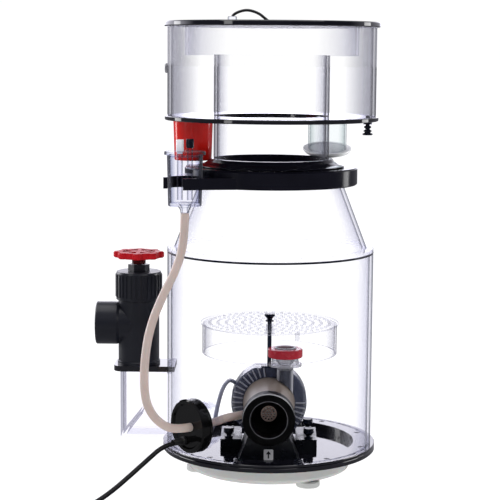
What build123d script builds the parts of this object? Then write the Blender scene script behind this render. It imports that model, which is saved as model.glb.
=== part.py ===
from build123d import *
from math import cos, pi, radians, sin, sqrt, tan
import os

# A protein skimmer for a saltwater aquarium sump: a clear reaction chamber with a cone top, a lift-off
# collection cup, a needle-wheel pump inside, an air silencer and an outlet valve.
# Millimetres. The origin is on the floor, on the chamber's axis. +Z is up, -Y is the front, and the
# outlet leaves towards -X.
os.makedirs("parts", exist_ok=True)

# Base
PLATE_R = 156.0
WELL_R = 125.0
PAN_R = 120.0
PAN_BOTTOM = 9.0
FLOOR_Z = 36.0
PLATE_TOP = 43.0
FLANGE_TOP = 47.0
SCREW_CIRCLE_R = 140.0
SCREW_COUNT = 10
FOOT_R = 17.0
FOOT_CIRCLE_R = 104.0

# Chamber
TUBE_R = 150.0
WALL = 5.0
TUBE_TOP = 328.0
CONE_BOTTOM = 334.0
CONE_R = 140.0
CONE_TOP = 426.0
CONE_TOP_R = 104.4
COLLAR_R = 125.0
COLLAR_TOP = 451.0
COLLAR_BORE_R = 84.2

# Collection cup and lid
NECK_R = 83.5
NECK_WALL = 4.5
NECK_BOTTOM = 430.0
NECK_TOP = 611.0
CUP_FLOOR = 517.8
CUP_FLOOR_TOP = 523.9
CUP_R = 154.0
CUP_WALL_R = 150.3
CUP_TOP = 650.4
LID_BOTTOM = 650.7
LID_TOP = 658.2
LID_R = 155.2
SKIRT_R = 125.0
SKIRT_BOTTOM = 610.0
DRAIN_AT = (138.3, -10.0)
RED_POT_AT = (-115.8, 54.0)
CLEAR_POT_AT = (84.0, 88.0)
POT_TILT = 12.0

# Air silencer, beside the neck collar
SILENCER_AT = (-119.5, -100.5)
SILENCER_R = 25.0
SILENCER_BOTTOM = 402.0
SILENCER_TOP = 473.0
NOZZLE_BOTTOM = 392.0
TUBE_OFFSET = 7.0
BAND_BOTTOM = 426.0
BAND_TOP = 442.0

# Outlet box and valve
VALVE_X = -192.0
BOX_X = -216.8
BOX_HALF = 29.0
BOX_BOTTOM = 54.0
VALVE_PLATE_BOTTOM = 152.0
VALVE_PLATE_TOP = 160.0
VALVE_R = 30.0
VALVE_BORE_R = 25.0
SOCKET_R = 31.3
SOCKET_Z = 219.0
SOCKET_X = -254.0
SOCKET_DEPTH = 31.0
NUT_BOTTOM = 255.0
NUT_TOP = 296.0
NUT_R = 34.2
WHEEL_R = 37.0
WHEEL_BOTTOM = 316.0
WHEEL_TOP = 325.0
STEM_R = 5.0
RUNNING_GAP = 0.06

# Port in the chamber wall: its axis leaves the wall at WALL_POINT and faces front left
PORT_TURN = 49.0
WALL_POINT = (-98.4, -113.2, 94.5)
PORT_R = 38.0
PORT_FACE = 19.5
HOSE_SHIFT = 6.0
CABLE_SHIFT = (-8.0, -22.0)

# Pump, on a level axis that runs front to back
PUMP_Z = 103.3
VOLUTE_R = 55.6
VOLUTE_FLAT = 154.9
MOTOR_R = 40.0
INTAKE_R = 37.5
INTAKE_BORE_R = 25.5
PIPE_AT = (23.2, -17.0)
PIPE_R = 12.0
PIPE_BORE_R = 8.0
DUCT_BORE_R = 10.0
DUCT_SLOT = (14, 9, 5)
DUCT_SLOT_AT = (23.2, -7.5, 144.5)
INTAKE_BODY_R = 38.0
NIPPLE_TURN = 32.0
NIPPLE_LENGTH = 44.0

# Bubble plate
BUBBLE_R = 99.6
BUBBLE_TOP = 222.8
BUBBLE_BOTTOM = 219.8
BUBBLE_SKIRT_BOTTOM = 177.4
ROD_R = 3.1
PEG_AT = (39.4, -71.9)

# Hoses and cords
HOSE_R = 6.0
CABLE_R = 3.0
CORD_R = 3.4
COIL_MID_R = 36.0
COIL_HALF_WIDTH = 15.0
COIL_AT = (-244.8, -291.9)

UP = (0, 0, 1)
port_out = Vector(-sin(radians(PORT_TURN)), -cos(radians(PORT_TURN)), 0)
port_side = Vector(cos(radians(PORT_TURN)), -sin(radians(PORT_TURN)), 0)
wall_point = Vector(*WALL_POINT)


def finish(piece, name):
    """Label a finished piece and write it."""
    piece.part.label = name
    export_step(piece.part, f"parts/{name}.step")


def turned(points, origin=(0, 0, 0), along=UP):
    """A body of revolution: each point is (radius, distance from origin along the axis)."""
    axis = Vector(*along).normalized()
    across = Vector(0, 0, 1) if abs(axis.Z) < 0.9 else Vector(1, 0, 0)
    across = (across - axis * across.dot(axis)).normalized()
    with BuildPart() as piece:
        with BuildSketch(Plane(origin=origin, x_dir=across, z_dir=across.cross(axis))):
            with BuildLine():
                Polyline(*points, close=True)
            make_face()
        revolve(axis=Axis(origin, tuple(axis)))
    return piece


def ring_section(inner, outer, bottom, top, edge=0.0):
    """The section of a ring, its outer corners chamfered by edge."""
    if edge == 0:
        return [(inner, bottom), (outer, bottom), (outer, top), (inner, top)]
    return [(inner, bottom), (outer - edge, bottom), (outer, bottom + edge),
            (outer, top - edge), (outer - edge, top), (inner, top)]


def ring(inner, outer, bottom, top, edge=0.0, at=(0, 0)):
    """An upright ring or disc."""
    return turned(ring_section(inner, outer, bottom, top, edge), origin=(*at, 0))


def port_point(out, side=0.0, up=0.0):
    """A point in the port's own directions: out along its axis, sideways and up."""
    return wall_point + port_out * out + port_side * side + Vector(0, 0, up)


# ---------------------------------------------------------------- base
def make_base():
    pan = turned([(0, PAN_BOTTOM), (PAN_R - 6, PAN_BOTTOM), (PAN_R - 1.8, PAN_BOTTOM + 1.8),
                  (PAN_R, PAN_BOTTOM + 6), (PAN_R, FLOOR_Z - 3), (PAN_R - 3, FLOOR_Z - 3),
                  (PAN_R - 3, PAN_BOTTOM + 7), (PAN_R - 7, PAN_BOTTOM + 3), (0, PAN_BOTTOM + 3)])
    finish(pan, "base_pan")
    finish(ring(0, WELL_R + 7, FLOOR_Z - 3, FLOOR_Z, 0.5), "well_floor")

    with BuildPart() as base_plate:
        add(ring(WELL_R, PLATE_R, FLOOR_Z, PLATE_TOP, 1.2).part)
        with PolarLocations(SCREW_CIRCLE_R, SCREW_COUNT, start_angle=18):
            with Locations((0, 0, FLOOR_Z)):
                Cylinder(2.2, PLATE_TOP - FLOOR_Z, align=(Align.CENTER, Align.CENTER, Align.MIN),
                         mode=Mode.SUBTRACT)
    finish(base_plate, "base_plate")

    with BuildPart() as body_flange:
        add(ring(WELL_R, PLATE_R, PLATE_TOP, FLANGE_TOP, 0.8).part)
        with Locations((0, 0, FLANGE_TOP)):
            with PolarLocations(SCREW_CIRCLE_R, SCREW_COUNT, start_angle=18):
                CounterSinkHole(radius=2.2, counter_sink_radius=4.2)
    finish(body_flange, "body_flange")

    screw = turned([(0, FLOOR_Z + 1), (2.1, FLOOR_Z + 1), (2.1, FLANGE_TOP - 2.2),
                    (3.7, FLANGE_TOP - 0.4), (3.7, FLANGE_TOP), (1.4, FLANGE_TOP),
                    (1.4, FLANGE_TOP - 1.4), (0, FLANGE_TOP - 1.4)])
    with BuildPart() as flange_screws:
        with PolarLocations(SCREW_CIRCLE_R, SCREW_COUNT, start_angle=18):
            add(screw.part)
    finish(flange_screws, "flange_screws")

    foot = ring(0, FOOT_R, 0, PAN_BOTTOM, 1.5)
    with BuildPart() as feet:
        add(foot.part)
        with PolarLocations(FOOT_CIRCLE_R, 3, start_angle=-57):
            add(foot.part)
    finish(feet, "feet")


# ---------------------------------------------------------------- chamber
def make_chamber():
    port_plane = Plane(origin=tuple(wall_point), x_dir=tuple(port_side), z_dir=tuple(port_out))
    with BuildPart() as body_tube:
        add(ring(TUBE_R - WALL, TUBE_R, FLANGE_TOP, TUBE_TOP).part)
        with BuildSketch(port_plane.offset(-30)):
            Circle(30.0)
        extrude(amount=60, mode=Mode.SUBTRACT)
        with BuildSketch(Plane.XY.offset(BOX_BOTTOM + 4)):
            with Locations((-TUBE_R, 0)):
                Rectangle(20, 2 * BOX_HALF - 8)
        extrude(amount=VALVE_PLATE_BOTTOM - BOX_BOTTOM - 8, mode=Mode.SUBTRACT)
        with BuildSketch(Plane.XY.offset(VALVE_PLATE_BOTTOM)):
            with Locations((-TUBE_R, 0)):
                Rectangle(30, 62)
        extrude(amount=VALVE_PLATE_TOP - VALVE_PLATE_BOTTOM, mode=Mode.SUBTRACT)
    finish(body_tube, "body_tube")

    finish(ring(CONE_R - 2.5, TUBE_R, TUBE_TOP, CONE_BOTTOM, 0.8), "shoulder_ring")
    finish(turned([(CONE_R - 5.4, CONE_BOTTOM), (CONE_R, CONE_BOTTOM), (CONE_TOP_R, CONE_TOP),
                   (CONE_TOP_R - 5.4, CONE_TOP)]), "cone")

    groove_low, groove_high, groove_r = 437.0, 441.0, COLLAR_BORE_R + 3.8
    finish(turned([(COLLAR_BORE_R, CONE_TOP), (COLLAR_R - 1.5, CONE_TOP), (COLLAR_R, CONE_TOP + 1.5),
                   (COLLAR_R, COLLAR_TOP - 2), (COLLAR_R - 2, COLLAR_TOP),
                   (COLLAR_BORE_R, COLLAR_TOP), (COLLAR_BORE_R, groove_high),
                   (groove_r, groove_high), (groove_r, groove_low), (COLLAR_BORE_R, groove_low)]),
           "body_collar")
    with BuildPart() as collar_seal:
        with Locations((0, 0, (groove_low + groove_high) / 2)):
            Torus(NECK_R + 0.35 + 1.9, 1.9)
    finish(collar_seal, "collar_seal")


# ---------------------------------------------------------------- collection cup
def make_cup():
    finish(ring(NECK_R - NECK_WALL, NECK_R, NECK_BOTTOM, NECK_TOP), "neck_tube")
    low = COLLAR_TOP + 0.4
    finish(turned([(NECK_R, low), (105, low), (106, low + 0.8), (106, low + 1.8), (98, low + 3.2),
                   (91.5, low + 7), (88.5, low + 11.4), (NECK_R, low + 11.4)]), "neck_collar")

    with BuildPart() as cup_floor:
        add(ring(NECK_R, CUP_R, CUP_FLOOR, CUP_FLOOR_TOP, 1.0).part)
        with BuildSketch(Plane.XY.offset(CUP_FLOOR)):
            with Locations(DRAIN_AT):
                Circle(3.2)
        extrude(amount=CUP_FLOOR_TOP - CUP_FLOOR, mode=Mode.SUBTRACT)
    finish(cup_floor, "cup_floor")
    finish(ring(CUP_WALL_R - WALL, CUP_WALL_R, CUP_FLOOR_TOP, CUP_TOP), "cup_wall")

    head = CUP_FLOOR - 0.3
    finish(turned([(0, CUP_FLOOR_TOP + 1.6), (3.1, CUP_FLOOR_TOP + 1.6), (3.1, head),
                   (5.6, head), (5.6, head - 4), (3.0, head - 4.6), (3.0, head - 6.4),
                   (5.2, head - 7.2), (5.2, head - 9.6), (3.4, head - 10.2), (3.4, head - 12),
                   (5.8, head - 13), (5.8, head - 15), (4.4, head - 15.6), (4.4, head - 16.6),
                   (7.2, head - 17.4), (7.2, head - 20), (0, head - 20)],
                  origin=(*DRAIN_AT, 0)), "drain_plug")

    pot_top_r, pot_bottom_r, pot_bottom = 29.5, 27.5, 455.6
    finish(turned([(0, pot_bottom), (pot_bottom_r - 1, pot_bottom), (pot_bottom_r, pot_bottom + 1),
                   (pot_top_r, CUP_FLOOR), (pot_top_r - 2.5, CUP_FLOOR),
                   (pot_bottom_r - 2.5, pot_bottom + 2.5), (0, pot_bottom + 2.5)],
                  origin=(*RED_POT_AT, 0)), "red_canister")

    tilt = radians(POT_TILT)
    foot_point = (*CLEAR_POT_AT, 473.0)
    leaning = (0, -sin(tilt), cos(tilt))
    with BuildPart() as clear_canister:
        add(ring(26.3, 28.8, 455.0, CUP_FLOOR, at=CLEAR_POT_AT).part)
        split(bisect_by=Plane(origin=foot_point, z_dir=leaning), keep=Keep.TOP)
    finish(clear_canister, "clear_canister")
    finish(turned([(0, -8), (27, -8), (33, -6), (36, -2.6), (36, 0), (0, 0)],
                  origin=foot_point, along=leaning), "canister_base")


def make_lid():
    finish(ring(0, LID_R, LID_BOTTOM, LID_TOP, 1.5), "lid")
    finish(ring(SKIRT_R - 4, SKIRT_R, SKIRT_BOTTOM, LID_BOTTOM), "lid_skirt")
    post_top = LID_TOP + 6.8
    finish(ring(0, 6.5, LID_TOP, post_top, 0.8, at=(-57, -20)), "handle_post")
    with BuildPart() as lid_handle:
        with BuildLine():
            Spline((-57, -20, post_top), (-47, -20, 671.6), (-34.8, -20, 673.7), (-20.5, -20, 669.6),
                   (-2.2, -20, 656), tangents=[(0.6, 0, 0.8), (0.8, 0, -0.6)])
        with BuildSketch(Plane(origin=(-57, -20, post_top), z_dir=(0.6, 0, 0.8))):
            Circle(2.0)
        sweep()
        split(bisect_by=Plane.XY.offset(LID_TOP), keep=Keep.TOP)
        with BuildSketch(Plane.XY.offset(LID_TOP)):
            with Locations((-57, -20)):
                Circle(6.6)
        extrude(amount=post_top - LID_TOP, mode=Mode.SUBTRACT)
    finish(lid_handle, "lid_handle")


# ---------------------------------------------------------------- air silencer
def make_silencer():
    origin = (*SILENCER_AT, 0)
    finish(turned([(4, NOZZLE_BOTTOM), (5.9, NOZZLE_BOTTOM), (6.4, 396), (9.5, 401),
                   (22.8, SILENCER_BOTTOM), (23.4, 403.5), (SILENCER_R, SILENCER_TOP),
                   (22.8, SILENCER_TOP), (21.2, 406), (8, 404.5), (4, 398)],
                  origin=origin), "silencer_cup")

    tube_places = [(SILENCER_AT[0] - TUBE_OFFSET, SILENCER_AT[1]),
                   (SILENCER_AT[0] + TUBE_OFFSET, SILENCER_AT[1])]
    lid_bottom, lid_top = SILENCER_TOP + 0.3, SILENCER_TOP + 5.0
    with BuildPart() as silencer_lid:
        add(turned([(0, lid_bottom - 3), (22.3, lid_bottom - 3), (22.3, lid_bottom),
                    (28.8, lid_bottom), (28.8, lid_top - 0.8), (28, lid_top), (0, lid_top)],
                   origin=origin).part)
        with BuildSketch(Plane.XY.offset(lid_bottom - 3)):
            with Locations(*tube_places):
                Circle(4.0)
        extrude(amount=10, mode=Mode.SUBTRACT)
    finish(silencer_lid, "silencer_lid")

    inlet = turned([(2.8, 410), (4, 410), (4, lid_top), (5.5, lid_top), (5.5, 494), (3.8, 494),
                    (3.8, lid_top + 2), (2.8, lid_top + 2)], origin=(*tube_places[0], 0))
    finish(inlet, "silencer_inlet_tube")
    finish(ring(2.8, 4.0, 410, 488, at=tube_places[1]), "silencer_valve_tube")
    knob_bore = 4.0 + RUNNING_GAP
    finish(turned([(knob_bore, 482.5), (5.0, 482.5), (5.4, 483), (5.4, 494.4), (4.9, 495), (0, 495),
                   (0, 488.6), (knob_bore, 488.6)], origin=(*tube_places[1], 0)), "air_knob")

    reach = Vector(*SILENCER_AT)
    out = reach.normalized()
    side = Vector(-out.Y, out.X)
    arm = [reach + side * 30, out * 110 + side * 58, out * 110 - side * 58, reach - side * 30]
    gap = [reach, reach + Vector(-60, -8), reach + Vector(-60, -60), reach + Vector(-2, -60)]
    with BuildPart() as silencer_bracket:
        with BuildSketch(Plane.XY.offset(BAND_BOTTOM)):
            with BuildLine():
                Polyline(*[(p.X, p.Y) for p in arm], close=True)
            make_face()
            with Locations(SILENCER_AT):
                Circle(30.0)
            Circle(COLLAR_R, mode=Mode.SUBTRACT)
            with BuildLine():
                Polyline(*[(p.X, p.Y) for p in gap], close=True)
            make_face(mode=Mode.SUBTRACT)
            with Locations(SILENCER_AT):
                Circle(24.5, mode=Mode.SUBTRACT)
        extrude(amount=BAND_TOP - BAND_BOTTOM)
    finish(silencer_bracket, "silencer_bracket")


# ---------------------------------------------------------------- outlet box and valve
def make_outlet():
    depth = VALVE_PLATE_BOTTOM - BOX_BOTTOM
    with BuildPart() as outlet_box:
        with BuildSketch(Plane.XY.offset(BOX_BOTTOM)):
            with Locations(((BOX_X - 140) / 2, 0)):
                Rectangle(-140 - BOX_X, 2 * BOX_HALF)
            Circle(TUBE_R, mode=Mode.SUBTRACT)
        extrude(amount=depth)
        with BuildSketch(Plane.XY.offset(BOX_BOTTOM + 4)):
            with Locations(((BOX_X - 130) / 2 + 2, 0)):
                Rectangle(-134 - BOX_X, 2 * BOX_HALF - 8)
        extrude(amount=depth, mode=Mode.SUBTRACT)
        with BuildSketch(Plane.XZ.offset(-BOX_HALF + 4)):
            with BuildLine():
                Polyline((BOX_X + 4, BOX_BOTTOM + 4), (BOX_X + 9, BOX_BOTTOM + 4),
                         (BOX_X + 32, BOX_BOTTOM + 34), (BOX_X + 28, BOX_BOTTOM + 34), close=True)
            make_face()
        extrude(amount=2 * BOX_HALF - 8)
    finish(outlet_box, "outlet_box")

    with BuildPart() as valve_plate:
        with BuildSketch(Plane.XY.offset(VALVE_PLATE_BOTTOM)) as outline:
            with Locations(((VALVE_X - VALVE_R - 5 - 138) / 2, 0)):
                Rectangle(-138 - (VALVE_X - VALVE_R - 5), 62)
            fillet(outline.vertices().group_by(Axis.X)[0], 14)
            with Locations((VALVE_X, 0)):
                Circle(VALVE_BORE_R, mode=Mode.SUBTRACT)
        extrude(amount=VALVE_PLATE_TOP - VALVE_PLATE_BOTTOM)
    finish(valve_plate, "valve_plate")

    neck_top = 290.0
    with BuildPart() as valve_tee:
        add(turned([(0, VALVE_PLATE_TOP), (VALVE_R + 1.2, VALVE_PLATE_TOP),
                    (VALVE_R + 1.2, VALVE_PLATE_TOP + 4), (VALVE_R, VALVE_PLATE_TOP + 5),
                    (VALVE_R, 254), (29, 254), (29, neck_top), (0, neck_top)],
                   origin=(VALVE_X, 0, 0)).part)
        add(turned([(0, 0), (29, 0), (29, 27), (SOCKET_R, 31), (SOCKET_R, VALVE_X - SOCKET_X - 1.5),
                    (SOCKET_R - 1.5, VALVE_X - SOCKET_X), (0, VALVE_X - SOCKET_X)],
                   origin=(VALVE_X, 0, SOCKET_Z), along=(-1, 0, 0)).part)
        with BuildSketch(Plane.XY.offset(VALVE_PLATE_TOP)):
            with Locations((VALVE_X, 0)):
                Circle(VALVE_BORE_R)
        extrude(amount=neck_top - VALVE_PLATE_TOP, mode=Mode.SUBTRACT)
        with BuildSketch(Plane(origin=(VALVE_X, 0, SOCKET_Z), z_dir=(-1, 0, 0))):
            Circle(VALVE_BORE_R - 2)
        extrude(amount=VALVE_X - SOCKET_X, mode=Mode.SUBTRACT)
        with BuildSketch(Plane(origin=(SOCKET_X, 0, SOCKET_Z), z_dir=(1, 0, 0))):
            Circle(VALVE_BORE_R)
        extrude(amount=SOCKET_DEPTH, mode=Mode.SUBTRACT)
    finish(valve_tee, "valve_tee")

    with BuildPart() as valve_union_nut:
        add(turned([(29, NUT_BOTTOM), (33, NUT_BOTTOM), (33, NUT_TOP - 3), (32, NUT_TOP),
                    (16.3, NUT_TOP), (16.3, 293.5), (29, 293.5)], origin=(VALVE_X, 0, 0)).part)
        with BuildSketch(Plane.XY.offset(NUT_BOTTOM + 4)):
            with Locations((VALVE_X, 0)):
                with PolarLocations(32.8, 30):
                    Rectangle(2.8, 3.4)
        extrude(amount=NUT_TOP - NUT_BOTTOM - 8)
    finish(valve_union_nut, "valve_union_nut")

    bore = STEM_R + RUNNING_GAP
    with BuildPart() as valve_bonnet:
        add(turned([(bore, neck_top), (29, neck_top), (29, 293.4), (16, 293.4), (16, 296.2),
                    (bore, 296.2)], origin=(VALVE_X, 0, 0)).part)
        with BuildSketch(Plane.XY.offset(296.2)):
            with Locations((VALVE_X, 0)):
                RegularPolygon(15.7, 6, rotation=8)
                Circle(bore, mode=Mode.SUBTRACT)
        extrude(amount=9.8)
    finish(valve_bonnet, "valve_bonnet")

    finish(ring(STEM_R + 0.35, VALVE_BORE_R - 0.35, 247, 289.4, 1.0, at=(VALVE_X, 0)), "valve_plug")
    finish(ring(0, STEM_R, 236, WHEEL_TOP - 1, 0.6, at=(VALVE_X, 0)), "valve_stem")

    lobes, spokes = 8, 8
    with BuildPart() as handwheel:
        with BuildSketch(Plane.XY.offset(WHEEL_BOTTOM)):
            with Locations((VALVE_X, 0)):
                Circle(31.5)
                with PolarLocations(29.6, lobes):
                    Circle(WHEEL_R - 29.6)
                Circle(24.0, mode=Mode.SUBTRACT)
                with PolarLocations(17, spokes):
                    Rectangle(16, 5.5)
        extrude(amount=WHEEL_TOP - WHEEL_BOTTOM)
        rim_edges = handwheel.edges().filter_by(GeomType.CIRCLE).filter_by(
            lambda edge: edge.radius < 10 and edge.center().Z > WHEEL_BOTTOM - 1)
        chamfer(rim_edges, 1.6)
        with Locations((VALVE_X, 0, 307)):
            Cylinder(10, WHEEL_TOP - 307, align=(Align.CENTER, Align.CENTER, Align.MIN))
            Cylinder(STEM_R, WHEEL_TOP - 307 - 1, align=(Align.CENTER, Align.CENTER, Align.MIN),
                     mode=Mode.SUBTRACT)
    finish(handwheel, "handwheel")


# ---------------------------------------------------------------- wall port
def make_port():
    outward = tuple(port_out)
    with BuildPart() as port_bulkhead:
        with BuildSketch(Plane(origin=tuple(port_point(-14)), x_dir=tuple(port_side), z_dir=outward)):
            Circle(36.0)
        extrude(amount=17.8)
        with BuildSketch(Plane.XY):
            Circle(TUBE_R)
        extrude(amount=TUBE_TOP, mode=Mode.SUBTRACT)
        with BuildSketch(Plane(origin=tuple(port_point(-22)), x_dir=tuple(port_side), z_dir=outward)):
            Circle(30.0)
        extrude(amount=25.8)
        with BuildSketch(Plane(origin=tuple(port_point(-22)), x_dir=tuple(port_side), z_dir=outward)):
            Circle(27.5)
        extrude(amount=30, mode=Mode.SUBTRACT)
    finish(port_bulkhead, "port_bulkhead")

    back, face, rim = 3.8, PORT_FACE, PORT_FACE + 2.5
    finish(turned([(0, back), (36.6, back), (PORT_R, back + 1.4), (PORT_R, 8.6), (37, 9.2), (37, 10),
                   (PORT_R, 10.6), (PORT_R, rim - 2.2), (PORT_R - 2, rim), (32, rim), (30, face),
                   (0, face)], origin=WALL_POINT, along=outward), "port_cap")
    cable_exit = port_point(face, *CABLE_SHIFT)
    gland_bore = CORD_R + 0.15
    finish(turned([(gland_bore, 0), (6.4, 0), (6.4, 3), (5.4, 5), (4.3, 20), (gland_bore, 20)],
                  origin=tuple(cable_exit), along=outward), "cord_gland")


# ---------------------------------------------------------------- pump
def make_pump():
    centre = (0, 0, PUMP_Z)
    front = (0, -1, 0)
    finish(turned([(24.5, 97), (11.6, 82), (11.6, 78), (15, 78), (30, 84), (30, 98), (36, 98),
                   (INTAKE_R, 99.5), (INTAKE_R, 120.5), (36, 122), (27, 122), (INTAKE_BORE_R, 120.5),
                   (INTAKE_BORE_R, 100)], centre, front), "intake_ring")

    with BuildPart() as intake_screen:
        add(turned([(0, 78), (11.6, 78), (11.6, 81), (0, 81)], centre, front).part)
        with BuildSketch(Plane(origin=(0, -81, PUMP_Z), x_dir=(1, 0, 0), z_dir=front)):
            with PolarLocations(4.0, 6):
                Circle(1.3)
            with PolarLocations(8.2, 12):
                Circle(1.3)
            Circle(1.3)
        extrude(amount=-3, mode=Mode.SUBTRACT)
    finish(intake_screen, "intake_screen")

    turn = radians(NIPPLE_TURN)
    nipple_out = (-cos(turn), -sin(turn), 0)
    with BuildPart() as intake_body:
        add(turned([(0, 10), (INTAKE_BODY_R, 10), (INTAKE_BODY_R, 12), (34, 98), (0, 98)], centre,
                   front).part)
        with BuildSketch(Plane(origin=(0, -52, 100), z_dir=nipple_out)):
            Circle(5.5)
        extrude(amount=NIPPLE_LENGTH)
        add(turned([(0, 8), (30, 8), (30, 99), (0, 99)], centre, front).part, mode=Mode.SUBTRACT)
        with BuildSketch(Plane(origin=(0, -52, 100), z_dir=nipple_out)):
            Circle(3.8)
        extrude(amount=NIPPLE_LENGTH + 1, mode=Mode.SUBTRACT)
    finish(intake_body, "intake_body")

    # The outlet duct stands on the volute's front, above the intake, and opens into the chamber behind.
    with BuildPart() as duct_bore:
        with BuildSketch(Plane.XY.offset(PUMP_Z)):
            with Locations(PIPE_AT):
                Circle(DUCT_BORE_R)
        extrude(amount=VOLUTE_FLAT - PUMP_Z)
        add(turned([(0, 0), (INTAKE_BODY_R + 3, 0), (INTAKE_BODY_R + 3, 40), (0, 40)], centre, front).part,
            mode=Mode.SUBTRACT)
    fins, first_fin, fin_range = 30, 99, 270
    with BuildPart() as volute:
        add(turned([(0, -30), (VOLUTE_R - 2, -30), (VOLUTE_R, -28), (VOLUTE_R, 6), (VOLUTE_R - 2, 8),
                    (0, 8)], centre, front).part)
        with BuildSketch(Plane(origin=(0, -8, PUMP_Z), x_dir=(1, 0, 0), z_dir=front)):
            with PolarLocations(46.5, fins, first_fin, fin_range):
                Rectangle(14.5, 1.8)
        extrude(amount=2.0)
        with BuildSketch(Plane.XY.offset(PUMP_Z)):
            with Locations(PIPE_AT):
                Circle(PIPE_R)
        extrude(amount=VOLUTE_FLAT - PUMP_Z)
        add(turned([(0, 8), (INTAKE_BODY_R + 0.6, 8), (INTAKE_BODY_R + 0.6, 40), (0, 40)], centre,
                   front).part, mode=Mode.SUBTRACT)
        add(turned([(0, -26), (51, -26), (51, 4), (30, 4), (30, 9), (0, 9)], centre, front).part,
            mode=Mode.SUBTRACT)
        add(turned([(0, -31), (9, -31), (9, -20), (0, -20)], centre, front).part, mode=Mode.SUBTRACT)
        with BuildSketch(Plane.XY.offset(VOLUTE_FLAT)):
            with Locations((0, 11)):
                Rectangle(130, 60)
        extrude(amount=20, mode=Mode.SUBTRACT)
        add(duct_bore.part, mode=Mode.SUBTRACT)
        with Locations(DUCT_SLOT_AT):
            Box(*DUCT_SLOT, mode=Mode.SUBTRACT)
    finish(volute, "volute")

    shaft_r = 4.0
    with BuildPart() as impeller:
        add(turned([(0, -58), (shaft_r, -58), (shaft_r, -22), (28, -22), (28, -19), (7, -19), (6, -6),
                    (0, -4)], centre, front).part)
        with BuildSketch(Plane(origin=(0, 19.5, PUMP_Z), x_dir=(1, 0, 0), z_dir=front)):
            for circle_r, count in ((13, 10), (19, 16), (25, 22)):
                with PolarLocations(circle_r, count):
                    Circle(1.2)
        extrude(amount=16)
    finish(impeller, "impeller")

    shaft_bore = shaft_r + RUNNING_GAP
    finish(turned([(0, -92), (33, -92), (MOTOR_R, -85), (MOTOR_R, -78), (38.4, -77), (38.4, -74),
                   (MOTOR_R, -73), (MOTOR_R, -36), (36, -30), (shaft_bore, -30), (shaft_bore, -60),
                   (0, -60)], centre, front), "pump_motor")

    finish(turned([(PIPE_BORE_R, 148.5), (DUCT_BORE_R, 148.5), (DUCT_BORE_R, VOLUTE_FLAT),
                   (PIPE_R, VOLUTE_FLAT), (PIPE_R, 160.5), (24, 160.5), (24, 164.5), (19.5, 164.5),
                   (19.5, 173.3), (15.8, 173.3), (15.8, 188), (13.2, 188), (13.2, 167),
                   (PIPE_BORE_R, 162)], origin=(*PIPE_AT, 0)), "discharge_pipe")
    finish(turned([(16.1, 186.2), (24, 186.2), (25.3, 184.9), (25.3, 174.8), (24.3, 173.7), (21.5, 173.7),
                   (21.5, 181), (16.1, 181)], origin=(*PIPE_AT, 0)), "pump_union_nut")

    with BuildPart() as pump_bracket:
        with BuildSketch(Plane.XZ.offset(12)):
            with BuildLine():
                Polyline((-44, FLOOR_Z), (44, FLOOR_Z), (34, 62), (27, 80), (-27, 80), (-34, 62),
                         close=True)
            make_face()
        extrude(amount=88)
        with BuildSketch(Plane.XY.offset(FLOOR_Z)):
            with Locations((0, -6)):
                Rectangle(140, 80)
        extrude(amount=8)
        with BuildSketch(Plane.XY.offset(FLOOR_Z)):
            with Locations((-55, -6), (55, -6)):
                Rectangle(30, 80)
        extrude(amount=21)
        with BuildSketch(Plane(origin=(0, 40, PUMP_Z), x_dir=(1, 0, 0), z_dir=front)):
            Circle(38.1)
        extrude(amount=160, mode=Mode.SUBTRACT)
        with BuildSketch(Plane.XY.offset(FLOOR_Z + 8)):
            with Locations((-58, -38), (-58, 22), (58, -38), (58, 22)):
                Circle(3.1)
        extrude(amount=20, mode=Mode.SUBTRACT)
    finish(pump_bracket, "pump_bracket")

    screw = turned([(0, 46), (3, 46), (3, 57.2), (6, 57.2), (6, 60), (3.4, 60.6), (3.4, 62), (7.4, 66),
                    (7.4, 71.5), (6.6, 72.6), (0, 72.6)])
    with BuildPart() as thumbscrews:
        with Locations((-58, -38), (-58, 22), (58, -38), (58, 22)):
            add(screw.part)
    finish(thumbscrews, "thumbscrews")


# ---------------------------------------------------------------- bubble plate
def make_bubble_plate():
    hole_pitch = 12.0
    with BuildPart() as bubble_plate:
        with BuildSketch(Plane.XY.offset(BUBBLE_BOTTOM)):
            Circle(BUBBLE_R + 1.4)
            Circle(ROD_R, mode=Mode.SUBTRACT)
            for row in range(1, 8):
                circle_r = 4 + row * hole_pitch
                with PolarLocations(circle_r, round(2 * pi * circle_r / hole_pitch)):
                    Circle(2.2, mode=Mode.SUBTRACT)
        extrude(amount=BUBBLE_TOP - BUBBLE_BOTTOM)
        with BuildSketch(Plane.XY.offset(204)):
            Circle(5.5)
            Circle(ROD_R, mode=Mode.SUBTRACT)
        extrude(amount=BUBBLE_BOTTOM - 204)
        with BuildSketch(Plane.XY.offset(BUBBLE_BOTTOM - 12)):
            with Locations(PEG_AT):
                Circle(3.3)
        extrude(amount=12)
    finish(bubble_plate, "bubble_plate")
    finish(ring(95.6, 98.6, BUBBLE_SKIRT_BOTTOM, BUBBLE_BOTTOM), "bubble_skirt")

    with BuildPart() as plate_rod:
        add(ring(0, ROD_R, VOLUTE_FLAT, 229).part)
        with BuildSketch(Plane.XY.offset(VOLUTE_FLAT)) as foot:
            with Locations((0, 3)):
                Rectangle(24, 18)
            fillet(foot.vertices(), 3)
        extrude(amount=2.0)
    finish(plate_rod, "plate_rod")
    bore = ROD_R + RUNNING_GAP
    low = BUBBLE_TOP + 0.3
    finish(turned([(bore, low), (6.0, low), (6.0, low + 1.8), (3.8, low + 2.4), (3.8, low + 4),
                   (7.4, low + 8), (7.4, low + 10.6), (6.8, low + 11.4), (0, low + 11.4), (0, 229.4),
                   (bore, 229.4)]), "plate_knob")


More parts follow.
